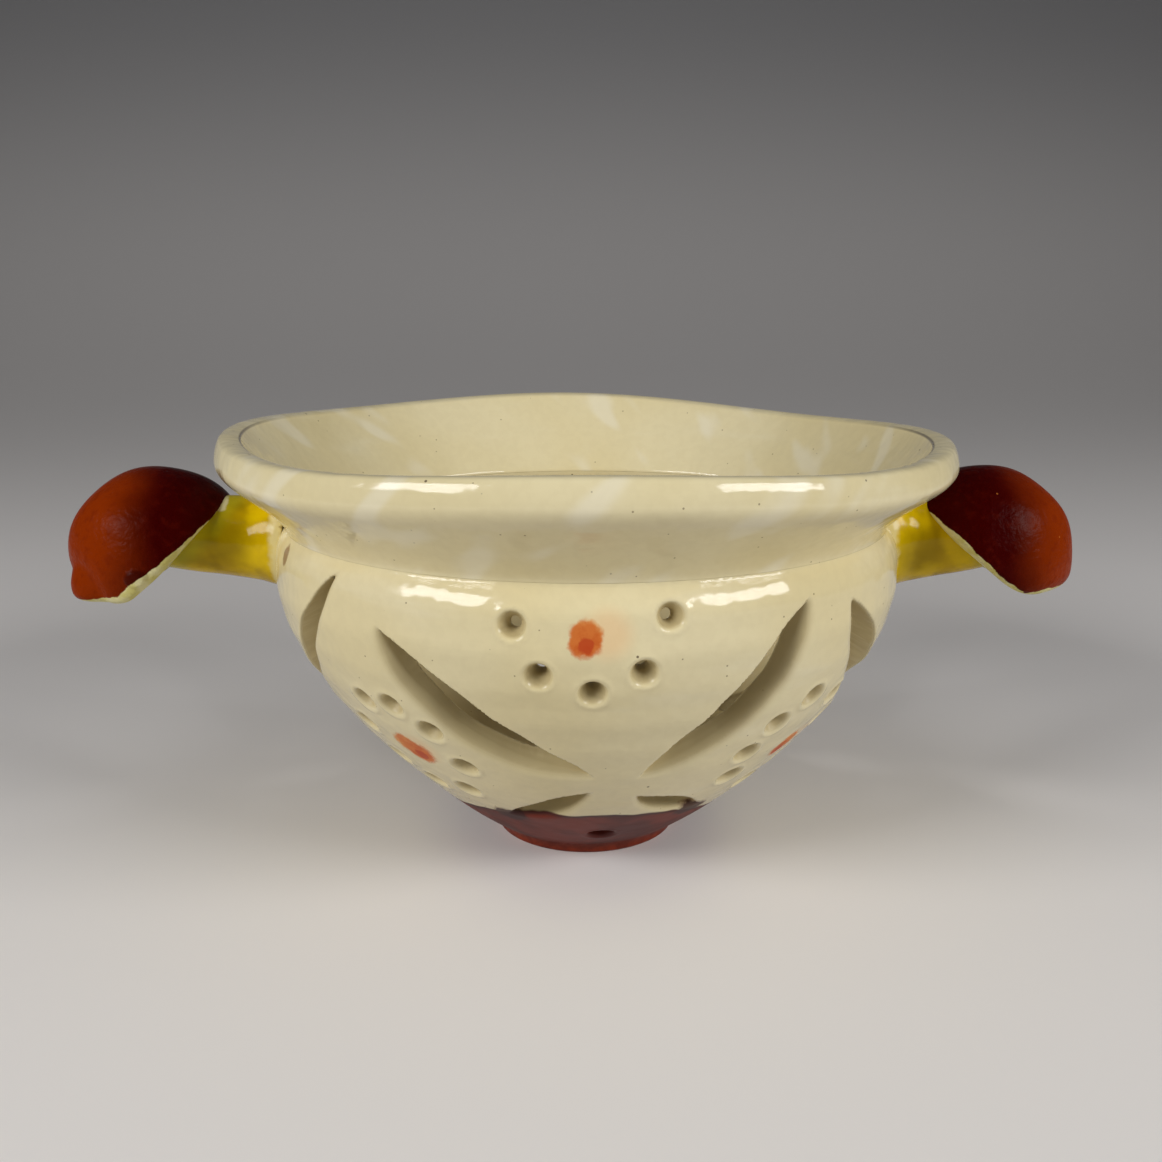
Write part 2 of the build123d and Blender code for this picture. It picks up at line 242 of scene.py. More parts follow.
# Azimuths and heights where the slip pooled, at the ends of two slots, and how deep it runs into cut walls
SLIP_POOLS = ((-28.0, 16.2), (30.5, 16.8))
SLIP_POOL_RADII = (4.4, 4.4, 3.2)
SLIP_DEPTHS = (1.6, 3.0)

# Slant of the whitish streaks on the collar, in radians of azimuth for each millimetre of height
STREAK_TWIST = 0.011
# A brown stain on the collar and, by azimuth and height, a smear on the belly
STAIN_PLACE = (-74.4, -30.4, 87.0)
STAIN_RADII = (5.4, 6.5, 4.8)
SMEAR_PLACE = (-68.0, 72.5)
SMEAR_RADII = (1.7, 2.0, 2.8)

# Strength of reflection of the cream and red glazes, the yellow glaze and the hoods' slip: 0.5 is clear glass
GLAZE_GLOSS = 0.3
LUG_GLOSS = 0.14
SLIP_GLOSS = 0.025
# Least and greatest roughness of the cream glaze, and that of its dull places
CREAM_ROUGHNESS = (0.06, 0.12)
DULL_ROUGHNESS = 0.5

# The cream glaze and what is on it, with painted shade on its cut walls, low inside and along the lip's inner
# edge
CREAM = rgb(228, 213, 166)
CREAM_DRIFT = rgb(233, 220, 178)
CREAM_THIN = rgb(237, 227, 194)
CREAM_MOTTLE = rgb(212, 196, 152)
# Painted shade on the walls of the slots and holes
CREAM_CUT_WALL_SHADE = rgb(184, 166, 120)
# Painted shade low inside the bowl
CREAM_INSIDE_SHADE = rgb(150, 126, 82)
CREAM_STREAK = rgb(244, 237, 214)
SPECK = rgb(74, 54, 36)
FINE_SPECK = rgb(110, 84, 54)
# Painted shade in a thin line along the lip's inner edge
LIP_EDGE_SHADE = rgb(112, 102, 88)
STAIN = rgb(126, 92, 62)
SMEAR = rgb(122, 74, 44)
# A dot's strokes from start to end, what shows where the brush was drier, its halo and its pool
DOT_STROKES = ((0.0, rgb(226, 160, 92)), (0.5, rgb(218, 130, 58)), (1.0, rgb(206, 98, 30)))
DOT_BRUSHED = rgb(214, 116, 46)
DOT_HALO = rgb(244, 196, 140)
DOT_POOL = rgb(188, 58, 10)
# The red slip on the base, and the foot's clay
SLIP_RED = rgb(112, 32, 8)
SLIP_DEEP = rgb(82, 18, 4)
SLIP_CUT_WALL = rgb(150, 52, 14)
SLIP_EDGE = rgb(52, 10, 8)
CLAY = rgb(132, 46, 16)
CLAY_DEEP = rgb(106, 34, 12)
# The yellow glaze
YELLOW = rgb(224, 188, 0)
YELLOW_DEEP = rgb(198, 162, 0)
YELLOW_RUN = rgb(214, 184, 60)
OLIVE = rgb(150, 122, 0)
OLIVE_DARK = rgb(118, 96, 0)
LUG_GREEN = rgb(176, 172, 30)
LUG_ROOT = rgb(230, 216, 160)
LUG_TIP = rgb(232, 224, 178)
# The hoods' slip, a copy of it darkened as painted shade towards the bowl, and bare clay
HOOD_SHADE = rgb(64, 2, 1)
HOOD_RED = rgb(136, 45, 1)
HOOD_MOTTLE = rgb(98, 20, 2)
HOOD_FLECK = rgb(196, 112, 48)
HOOD_PAD = rgb(66, 14, 5)
HOOD_BARE = rgb(228, 220, 166)
HOOD_BARE_DEEP = rgb(214, 204, 126)
# The floor as it lights the bowl and as it is seen, the backdrop and the surround
FLOOR_BOUNCE = rgb(212, 209, 207)
FLOOR_SEEN = rgb(238, 234, 231)
BACKDROP = rgb(162, 161, 162)
SURROUND = rgb(235, 235, 238)

# Mesh steps, the boxes that they fill, and counts
BELLY_STEP = 0.62
HANDLE_STEP = 0.6
BELLY_BOX = ((-73.0, -73.0, 1.5), (73.0, 73.0, 78.5))
LUG_BOX = ((64.5, -15.5, 52.0), (101.0, 15.5, 90.0))
HOOD_BOX = ((72.0, -20.5, 53.0), (121.0, 20.5, 89.5))
BELLY_TRIANGLES = 150000
HANDLE_TRIANGLES = 22000
COLLAR_SEGMENTS = 420
FOOT_SEGMENTS = 200
# How near the belly's wall its cuts are worked out, and how deep under both faces counts as a cut wall
NEAR_WALL = 1.5
CUT_WALL_DEPTH = 0.8

# Stage, in metres: depth and height along the floor, and each softbox's direction and power
FLOOR_CURVE = (
    (-0.8, 0.0), (-0.2, 0.0), (0.5, 0.0), (0.9, 0.02), (1.2, 0.12), (1.4, 0.35), (1.5, 0.8), (1.5, 1.6),
)
FLOOR_HALF_WIDTH = 2.5
SOFTBOXES = (
    ("left_softbox", (-0.722, -0.497, 0.48), 4.6),
    ("right_softbox", (0.731, -0.511, 0.452), 4.4),
)
SOFTBOX_AIM = (0.0, 0.0, 0.06)
SOFTBOX_DISTANCE = 0.9


def cubic(points, count):
    """Points along a cubic curve with four control points."""
    p0, p1, p2, p3 = np.asarray(points, float)
    t = np.linspace(0.0, 1.0, count)[:, None]
    s = 1.0 - t
    return s ** 3 * p0 + 3 * s * s * t * p1 + 3 * s * t * t * p2 + t ** 3 * p3


def chain(*curves):
    """One polyline from curves that follow each other."""
    return np.vstack([curves[0]] + [curve[1:] for curve in curves[1:]])


def straight(start, end, count=30):
    """Points along a straight line."""
    return np.linspace(start, end, count)


def path(start, *pieces):
    """A polyline from a start on, through pieces with two control points or none, an end and a count."""
    curves = []
    for *controls, end, count in pieces:
        curves.append(cubic((start, *controls, end), count) if controls else straight(start, end, count))
        start = end
    return chain(*curves)


def belly_outer_curve():
    """Outer curve of the belly, from the foot's top up its side, over the shoulder and in to the crease."""
    angle = radians(BELLY_START_ANGLE)
    leave = (FOOT_TOP_RADIUS + BELLY_START_PULL * cos(angle), FOOT_HEIGHT + BELLY_START_PULL * sin(angle))
    return path(
        (FOOT_TOP_RADIUS, FOOT_HEIGHT),
        (leave, (BELLY_RADIUS, 42.0), (BELLY_RADIUS, SHOULDER_HEIGHT), 160),
        ((BELLY_RADIUS, 68.8), (70.75, 70.5), (70.3, 71.8), 40),
        ((69.96, 72.8), (69.4, 73.8), (68.75, 74.7), 30),
        ((68.5, 75.05), (CREASE[0], CREASE[1] - 0.35), CREASE, 12),
    )


def belly_inner_curve():
    """Inner curve of the belly, from its floor to the crease."""
    return path(
        (FLOOR_RADIUS, FLOOR_HEIGHT),
        ((34.6, FLOOR_HEIGHT), (66.0, 49.0), (66.0, 67.5), 160),
        ((66.0, 71.2), (INNER_CREASE[0], 73.4), INNER_CREASE, 40),
    )


def collar_outer_curve():
    """Outer curve of the collar: hollow neck, then the lip with its bevelled edge up to its crest."""
    return path(
        CREASE,
        ((CREASE[0], 77.8), (75.4, 83.7), (79.2, 87.0), 36),
        ((80.9, 88.5), (82.5, 90.0), (82.5, 91.8), 20),
        ((82.5, 93.4), (82.05, 94.8), (81.55, 95.9), 24),
        ((81.2, 96.65), (80.4, LIP_CREST[1]), LIP_CREST, 14),
    )


def collar_inner_curve():
    """From the crest over the lip's inner edge and down the straight inside to the ridge at the crease."""
    return path(
        LIP_CREST,
        ((78.6, LIP_CREST[1]), (77.9, 96.7), (77.2, 96.5), 8),
        (LIP_INNER_EDGE, LIP_INNER_EDGE, (76.4, 95.6), 14),
        ((64.5, 78.4), 30),
        ((63.5, 77.0), (INNER_CREASE[0], INNER_CREASE[1] + 0.8), INNER_CREASE, 14),
    )


def polar_table(curve):
    """Angle and distance of a profile's points about the middle of the bowl's mouth."""
    drop = WALL_CENTRE_HEIGHT - curve[:, 1]
    return np.arctan2(curve[:, 0], drop), np.hypot(curve[:, 0], drop)


def smooth_max(a, b, width):
    """Larger of two fields, rounded over a width where they meet."""
    blend = np.maximum(width - np.abs(a - b), 0.0) / width
    return np.maximum(a, b) + blend * blend * width * 0.25


def smooth_step(low, high, value):
    """0 below low, 1 above high, and smooth between them."""
    t = np.clip((value - low) / (high - low), 0.0, 1.0)
    return t * t * (3.0 - 2.0 * t)


def outward_at(azimuth):
    """Horizontal unit vector that points out at an azimuth."""
    return np.array((sin(radians(azimuth)), -cos(radians(azimuth)), 0.0))


def wall_place(azimuth, height):
    """Point on the belly's outer face and the outward normal there."""
    curve = belly_outer_curve()
    heights = curve[:, 1]
    radius = np.interp(height, heights, curve[:, 0])
    slope = np.interp(height, heights, np.gradient(curve[:, 0], heights + 1e-9 * np.arange(len(heights))))
    outward = outward_at(azimuth)
    normal = outward - slope * np.array((0.0, 0.0, 1.0))
    point = outward * radius + np.array((0.0, 0.0, height))
    return point, normal / np.linalg.norm(normal)


def slot_frame(left_end, right_end):
    """Middle, axes and half length of a slot between its two ends."""
    left, right = wall_place(*left_end)[0], wall_place(*right_end)[0]
    middle_place = [(a + b) / 2 for a, b in zip(left_end, right_end)]
    normal = wall_place(*middle_place)[1]
    along = (right - left) / np.linalg.norm(right - left)
    outward = normal - along * normal.dot(along)
    outward /= np.linalg.norm(outward)
    up = np.cross(outward, along)
    return (left + right) / 2, along, up, outward, np.linalg.norm(right - left) / 2


def ring_holes():
    """Azimuths and heights of the rings' holes, laid out on a plane against the wall."""
    holes = []
    for middle, clock_angles in RINGS:
        point, normal = wall_place(*middle)
        across = RING_REACH[0] * outward_at(middle[0] + 90.0)
        up = RING_REACH[1] * np.cross(normal, outward_at(middle[0] + 90.0))
        for angle in clock_angles:
            x, y, z = point + across * cos(radians(angle)) + up * sin(radians(angle))
            holes.append((degrees(atan2(x, -y)), z))
    return holes


def hole_places():
    """Point, outward normal and sizes of every drain hole."""
    groups = (
        (CUP_HOLES, FRONT_AND_BACK, CUP_HOLE_SIZES),
        (ring_holes(), FRONT_AND_BACK, RING_HOLE_SIZES),
        (LOW_HOLES, (0.0,), LOW_HOLE_SIZES),
    )
    places = []
    for holes, turns, sizes in groups:
        turned = [(azimuth + turn, height) for turn in turns for azimuth, height in holes]
        places += [(*wall_place(*place), sizes) for place in turned]
    return places


def near_to(points, middle, reach):
    """Numbers of the points within reach of a middle."""
    return np.flatnonzero(((points - middle) ** 2).sum(1) < reach * reach)


class BellyField:
    """Distance-like field of the pierced belly, negative inside the clay."""

    def __init__(self):
        outer = chain(straight((0.0, FOOT_HEIGHT), (FOOT_TOP_RADIUS, FOOT_HEIGHT)), belly_outer_curve())
        inner = chain(straight((0.0, FLOOR_HEIGHT), (FLOOR_RADIUS, FLOOR_HEIGHT)), belly_inner_curve())
        collar_out = collar_outer_curve()[:TONGUE_POINTS]
        collar_in = collar_inner_curve()[::-1][:TONGUE_POINTS]
        outer = np.vstack((outer, collar_out[1:] - (TONGUE_INSET, 0.0)))
        inner = np.vstack((inner, collar_in[1:] + (TONGUE_INSET, 0.0)))
        self.outer = polar_table(outer)
        self.inner = polar_table(inner)
        self.slots = []
        for slots, leaf, seed in SLOT_KINDS:
            self.slots += [(slot_frame(*ends), leaf, seed + i) for i, ends in enumerate(slots)]
        self.holes = hole_places()

    def faces(self, points):
        """Distances beyond the outer face and short of the inner face."""
        x, y, z = points.T
        radius = np.hypot(x, y)
        drop = WALL_CENTRE_HEIGHT - z
        angle = np.arctan2(radius, drop)
        distance = np.hypot(radius, drop)
        azimuth = np.arctan2(x, -y)
        twofold, threefold = WALL_WAVES
        wave = twofold * np.sin(2 * azimuth + 0.8) + threefold * np.sin(3 * azimuth + z * 0.05)
        turned = TURNING_LINES * np.sin(z * 0.83 + 0.25 * np.sin(azimuth)) * smooth_step(*LINES_BEGIN, z)
        shape = (wave + turned) * smooth_step(*WAVES_BEGIN, z) * (1.0 - smooth_step(*WAVES_END, z))
        outer = distance - np.interp(angle, *self.outer) - shape
        inner = np.interp(angle, *self.inner) - distance + INSIDE_SHARE * shape
        return outer, inner

    def slot(self, points, frame_of, leaf, seed):
        """Field of one slot's opening, negative inside it, and how far it is the soft lower wall."""
        middle, along, up, outward, half_length = frame_of
        rise, drop_inside, drop_outside, run_out = leaf
        offset = points - middle
        x, y, depth = offset @ along, offset @ up, offset @ outward
        for height, rate, change in SLOT_WOBBLES:
            y = y + height * np.sin(x * rate + change * seed)
        share = np.clip(depth / SLOT_CUT_DEPTH, -SLOT_CUT_LIMIT, SLOT_CUT_LIMIT)
        half = half_length + run_out * share
        drop = drop_inside + (drop_outside - drop_inside) * (share + 1.0) / 2
        top_radius = (half * half + rise * rise) / (2 * rise)
        low_radius = (half * half + drop * drop) / (2 * drop)
        upper = np.hypot(x, y - rise + top_radius) - top_radius
        slope = (drop_outside - drop_inside) / (2 * SLOT_CUT_DEPTH)
        lower = (np.hypot(x, y + drop - low_radius) - low_radius) / np.sqrt(1.0 + slope * slope)
        softness = smooth_step(*SLOT_LIP_TURN, lower - upper) * smooth_step(*SLOT_LIP_DEPTHS, depth)
        return smooth_max(upper, lower, SLOT_TIP_ROUNDING), softness

    def hole(self, points, place):
        """Field of one drain hole, negative inside its funnel and bore, with radial distance and depth."""
        point, normal, (mouth_radius, bore_radius, funnel_depth) = place
        offset = points - point
        depth = offset @ normal
        radial = np.sqrt(np.maximum((offset * offset).sum(1) - depth * depth, 0.0))
        slope = (mouth_radius - bore_radius) / funnel_depth
        funnel = (radial - bore_radius - slope * (depth + funnel_depth)) / np.sqrt(1.0 + slope * slope)
        bore = radial - bore_radius
        return -smooth_max(-funnel, -bore, FUNNEL_ROUNDING), radial, depth

    def __call__(self, points):
        outer, inner = self.faces(points)
        for place in self.holes:
            near = near_to(points, place[0], BEAD_MARGIN)
            _, radial, depth = self.hole(points[near], place)
            bead = np.exp(-((radial - (place[2][0] + BEAD_DISTANCE)) / BEAD_WIDTH) ** 2)
            outer[near] -= BEAD_HEIGHT * bead * (np.abs(depth) < BEAD_DEPTH)
        field = np.maximum(smooth_max(outer, inner, WALL_EDGE_ROUNDING), points[:, 2] - TONGUE_TOP)
        for frame_of, leaf, seed in self.slots:
            near = near_to(points, frame_of[0], frame_of[4] + SLOT_MARGIN)
            opening, softness = self.slot(points[near], frame_of, leaf, seed)
            rounding = SLOT_EDGE_ROUNDING + SLOT_LIP_SHARE * leaf[2] * softness
            field[near] = smooth_max(field[near], -opening, rounding)
        for place in self.holes:
            near = near_to(points, place[0], HOLE_MARGIN)
            opening, _, _ = self.hole(points[near], place)
            field[near] = smooth_max(field[near], -opening, MOUTH_ROUNDING)
        return field

    def near_wall(self, points):
        """The same field, with the cuts worked out only in and near the wall."""
        field = np.maximum(np.maximum(*self.faces(points)), points[:, 2] - TONGUE_TOP)
        near = np.flatnonzero(field < NEAR_WALL)
        field[near] = self(points[near])
        return field


class HoodField:
    """Field of a hood, as if on the right, negative inside the clay. The left has a bud and a pad."""

    def __init__(self, side):
        self.sizes = HOODS[side]
        self.pinched = side == "left"
        self.centre = np.array(self.sizes["centre"])

    def ball(self, points, wall):
        """Field of the hood's ball, flattened along Y, less a wall."""
        long, high = [radius - wall for radius in self.sizes["radii"]]
        stretch = np.array((high / long, high / (HOOD_HALF_DEPTH - wall), 1.0))
        return np.linalg.norm((points - self.centre) * stretch, axis=1) - high

    def cut(self, points):
        """Distances along the slanting cut and above it."""
        tilt = radians(HOOD_TILT)
        x, _, z = (points - self.centre).T
        along = x * cos(tilt) - z * sin(tilt)
        upper, lower = self.sizes["cut_drop"]
        drop = upper + (lower - upper) * smooth_step(*self.sizes["cut_bend"], along)
        return along, x * sin(tilt) + z * cos(tilt) + drop

    def edge(self, points):
        """How far the slip's edge lies below a point: negative on the pale cut edge."""
        along, above = self.cut(points)
        swellings = self.sizes["pale_edge"]
        pale = sum(width * np.exp(-((along - place) / spread) ** 2) for place, spread, width in swellings)
        return np.minimum(above, points[:, 2] - self.sizes["low"]) - pale

    def pinch(self, points, outer):
        """The outer field with the bud, the groove round it and the thumb pad."""
        from_bud = np.linalg.norm(points - np.array(BUD_CENTRE), axis=1) - BUD_RADIUS
        outer = outer + BUD_GROOVE * np.exp(-((from_bud - BUD_GROOVE_PLACE) / BUD_GROOVE_WIDTH) ** 2)
        outer = -smooth_max(-outer, -from_bud, BUD_BLEND)
        pad = np.linalg.norm((points - np.array(PAD_CENTRE)) / np.array(PAD_RADII), axis=1)
        return outer - PAD_RISE * (1.0 - smooth_step(PAD_FLAT_SHARE, 1.0, pad))

    def __call__(self, points):
        x, y, z = points.T
        broad, fine = HOOD_DENTS
        uneven = broad * np.sin(x * 0.31 + 1.0) * np.sin(y * 0.27 + 0.4) + fine * np.sin(z * 0.37 + y * 0.2)
        outer = self.ball(points, 0.0) - uneven
        if self.pinched:
            outer = self.pinch(points, outer)
        field = smooth_max(outer, -self.ball(points, HOOD_WALL), HOOD_HOLLOW_ROUNDING)
        field = smooth_max(field, -self.cut(points)[1], HOOD_CUT_ROUNDING)
        return smooth_max(field, self.sizes["low"] - z, self.sizes["low_rounding"])


class LugField:
    """Field of a lug, as if on the right, flared where it is luted to the belly, negative inside the clay."""

    def __init__(self, side):
        self.stations = np.array(LUGS[side])

    def __call__(self, points):
        x, y, z = points.T
        reaches = self.stations[:, 0]
        height, half_width, half_height = [np.interp(x, reaches, self.stations[:, i]) for i in (1, 2, 3)]
        flare = 1.0 - smooth_step(*LUG_FLARE_ENDS, x)
        half_width = half_width + LUG_FLARE_SIDE * flare
        half_height = half_height + flare * np.where(z > height, LUG_FLARE_UP, LUG_FLARE_DOWN)
        across = np.hypot(y / half_width, (z - height) / half_height)
        field = (across - 1.0) * np.minimum(half_width, half_height)
        field = field + LUG_DENTS * np.sin(x * 0.3) * np.sin(y * 0.35 + 0.7)
        field = smooth_max(field, x - reaches[-1], LUG_END_ROUNDING)
        return np.maximum(field, reaches[0] - x)


def sample(field, box, step):
    """Field values on a regular grid over a box."""
    counts = [int(np.ceil((b - a) / step)) + 1 for a, b in zip(*box)]
    axes = [a + step * np.arange(n) for a, n in zip(box[0], counts)]
    values = np.empty(counts, np.float32)
    y, z = np.meshgrid(axes[1], axes[2], indexing="ij")
    for i, x in enumerate(axes[0]):
        points = np.column_stack((np.full(y.size, x), y.ravel(), z.ravel()))
        values[i] = field(points).reshape(y.shape)
    return values


def surface_net(values, low, step):
    """Vertices and quads of the surface where a sampled field changes sign."""
    inside = values < 0
    size = np.array(values.shape)
    corner_steps = np.array([(i, j, k) for i in (0, 1) for j in (0, 1) for k in (0, 1)])
    total = np.zeros(size - 1, np.uint8)
    for i, j, k in corner_steps:
        total += inside[i:size[0] - 1 + i, j:size[1] - 1 + j, k:size[2] - 1 + k]
    active = (total > 0) & (total < 8)
    cells = np.argwhere(active)
    number = np.full(size - 1, -1, np.int32)
    number[active] = np.arange(len(cells))
    position = np.zeros((len(cells), 3))
    hits = np.zeros(len(cells))
    unit = np.eye(3, dtype=int)
    for axis in range(3):
        for start in corner_steps[corner_steps[:, axis] == 0]:
            a = values[tuple((cells + start).T)]
            b = values[tuple((cells + start + unit[axis]).T)]
            crossing = (a < 0) != (b < 0)
            t = a[crossing] / (a[crossing] - b[crossing])
            position[crossing] += start + t[:, None] * unit[axis]
            hits[crossing] += 1
    vertices = np.array(low) + step * (cells + position / hits[:, None])
    quads = []
    for axis in range(3):
        second, third = unit[(axis + 1) % 3], unit[(axis + 2) % 3]
        first = [slice(1, n - 1) for n in size]
        first[axis] = slice(0, size[axis] - 1)
        moved = list(first)
        moved[axis] = slice(1, size[axis])
        here, there = inside[tuple(first)], inside[tuple(moved)]
        offset = np.array([1, 1, 1]) - unit[axis]
        for leaving in (True, False):
            points = np.argwhere((here != there) & (here == leaving)) + offset
            corners = [points, points - second, points - second - third, points - third]
            quad = np.column_stack([number[tuple(corner.T)] for corner in corners])
            quads.append(quad if leaving else quad[:, ::-1])
    return vertices, np.vstack(quads)


def gradient(field, points, reach=0.08):
    """Field values and gradients at points, from four samples around each."""
    corners = np.array(((1, 1, 1), (1, -1, -1), (-1, 1, -1), (-1, -1, 1)), float)
    slope = np.zeros_like(points)
    mean = np.zeros(len(points))
    for corner in corners:
        value = field(points + corner * reach)
        slope += value[:, None] * corner / (4.0 * reach)
        mean += value / 4.0
    return mean, slope


def settle(field, points, rounds, longest_step=0.6, least_slope=0.05):
    """Points moved onto the field's surface, with the unit normals there."""
    for _ in range(rounds):
        value, slope = gradient(field, points)
        step = np.clip(value / np.maximum((slope * slope).sum(1), least_slope), -longest_step, longest_step)
        points = points - slope * step[:, None]
    _, slope = gradient(field, points)
    return points, slope / np.maximum(np.linalg.norm(slope, axis=1), 1e-6)[:, None]


def add_object(name, data):
    """A new object in the scene."""
    made = bpy.data.objects.new(name, data)
    bpy.context.scene.collection.objects.link(made)
    return made


def thinned(vertices, quads, triangles):
    """The same surface with fewer triangles, densest where it bends."""
    mesh = bpy.data.meshes.new("thinning")
    mesh.from_pydata(vertices.tolist(), [], quads.tolist())
    piece = add_object("thinning", mesh)
    modifier = piece.modifiers.new("thin", "DECIMATE")
    modifier.ratio = min(1.0, triangles / (2.0 * len(quads)))
    evaluated = piece.evaluated_get(bpy.context.evaluated_depsgraph_get())
    thin = bpy.data.meshes.new_from_object(evaluated)
    points = np.empty(len(thin.vertices) * 3)
    thin.vertices.foreach_get("co", points)
    faces = [tuple(polygon.vertices) for polygon in thin.polygons]
    bpy.data.objects.remove(piece)
    bpy.data.meshes.remove(mesh)
    bpy.data.meshes.remove(thin)
    return points.reshape(-1, 3), faces


def add_piece(name, points, faces, normals=None):
    """A smooth-shaded mesh object from points in millimetres."""
    mesh = bpy.data.meshes.new(name)
    mesh.from_pydata((np.asarray(points) * MM).tolist(), [], faces)
    mesh.update()
    mesh.polygons.foreach_set("use_smooth", [True] * len(mesh.polygons))
    if normals is not None:
        mesh.normals_split_custom_set_from_vertices(normals.tolist())
    return add_object(name, mesh)


def add_value(piece, name, values):
    """A number for each vertex of a piece, for its material to read."""
    attribute = piece.data.attributes.new(name, "FLOAT", "POINT")
    attribute.data.foreach_set("value", np.asarray(values, np.float32))


def place_piece(piece, node, material):
    """Puts a piece on the frame in place of its CAD node."""
    piece.data.materials.append(material)
    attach(piece, "root")
    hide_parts(node)


def make_belly():
    """The pierced belly."""
    field = BellyField()
    values = sample(field.near_wall, BELLY_BOX, BELLY_STEP)
    vertices, quads = surface_net(values, BELLY_BOX[0], BELLY_STEP)
    vertices, _ = settle(field, vertices, 1)
    points, faces = thinned(vertices, quads, BELLY_TRIANGLES)
    points, normals = settle(field, points, 2)
    piece = add_piece("belly", points, faces, normals)
    outer, inner = field.faces(points)
    add_value(piece, "depth", -outer)
    add_value(piece, "cut", np.clip(np.minimum(-outer, -inner) / CUT_WALL_DEPTH, 0.0, 1.0))
    return piece


def rim_wave(azimuth):
    """How far the hand-thrown rim stands above its turned height, in millimetres, by azimuth in radians."""
    waves = [height * np.cos(number * (azimuth - radians(crest))) for number, height, crest in RIM_WAVES]
    return sum(waves) - RIM_SINK


def revolve_grid(profile, count):
    """Points of a closed profile turned about Z, as an array of azimuth by profile, with the azimuths."""
    azimuth = np.linspace(0.0, 2 * np.pi, count, endpoint=False)[:, None]
    radius, height = profile[:, 0][None, :], profile[:, 1][None, :]
    x, y = radius * np.sin(azimuth), -radius * np.cos(azimuth)
    return np.stack((x, y, np.broadcast_to(height, x.shape)), axis=2), azimuth


def grid_faces(rows, columns):
    """Quads that close a grid in both directions."""
    i, j = np.meshgrid(np.arange(rows), np.arange(columns), indexing="ij")
    down, right = (i + 1) % rows, (j + 1) % columns
    corners = (i * columns + j, down * columns + j, down * columns + right, i * columns + right)
    return np.stack(corners, axis=2).reshape(-1, 4).tolist()


def make_collar():
    """The flared collar with its wavy lip."""
    bottom = straight(INNER_CREASE, CREASE, 5)
    profile = chain(collar_outer_curve(), collar_inner_curve(), bottom)[:-1]
    grid, azimuth = revolve_grid(profile, COLLAR_SEGMENTS)
    lift = smooth_step(*RIM_WAVES_BEGIN, profile[:, 1][None, :])
    grid[:, :, 2] += rim_wave(azimuth) * lift
    spread = 1.0 + lift * sum(share * np.sin(number * azimuth + start) for number, share, start in RIM_OVALS)
    grid[:, :, 0] *= spread
    grid[:, :, 1] *= spread
    rows, columns = grid.shape[:2]
    piece = add_piece("collar", grid.reshape(-1, 3), grid_faces(rows, columns))
    from_edge = np.linalg.norm(profile - np.array(LIP_INNER_EDGE), axis=1)
    add_value(piece, "lip_edge", np.tile(from_edge, rows))
    return piece


def make_foot():
    """The turned foot ring: its base, outer side, top and inner side."""
    profile = path(
        (17.4, 0.0),
        ((20.6, 0.0), 6),
        ((21.2, 0.0), (21.4, 0.3), (21.4, 1.0), 8),
        ((21.6, 2.0), (22.2, 2.7), (23.3, 3.35), 14),
        ((16.4, 3.4), 8),
        ((16.5, 0.9), 6),
        ((16.5, 0.3), (16.8, 0.0), (17.4, 0.0), 8),
    )
    grid, _ = revolve_grid(profile[:-1], FOOT_SEGMENTS)
    return add_piece("foot", grid.reshape(-1, 3), grid_faces(*grid.shape[:2]))


def mirrored(points, faces, normals):
    """The same piece on the other side of the bowl."""
    flip = np.array((-1.0, 1.0, 1.0))
    return points * flip, [tuple(reversed(face)) for face in faces], normals * flip


def make_handle_piece(name, field, box, on_left):
    """A hood or lug, made on the right and mirrored to the left where asked, and its points on the right."""
    values = sample(field, box, HANDLE_STEP)
    vertices, quads = surface_net(values, box[0], HANDLE_STEP)
    vertices, _ = settle(field, vertices, 2)
    points, faces = thinned(vertices, quads, HANDLE_TRIANGLES)
    points, normals = settle(field, points, 2)
    placed = (points, faces, normals)
    if on_left:
        placed = mirrored(*placed)
    return add_piece(name, *placed), points


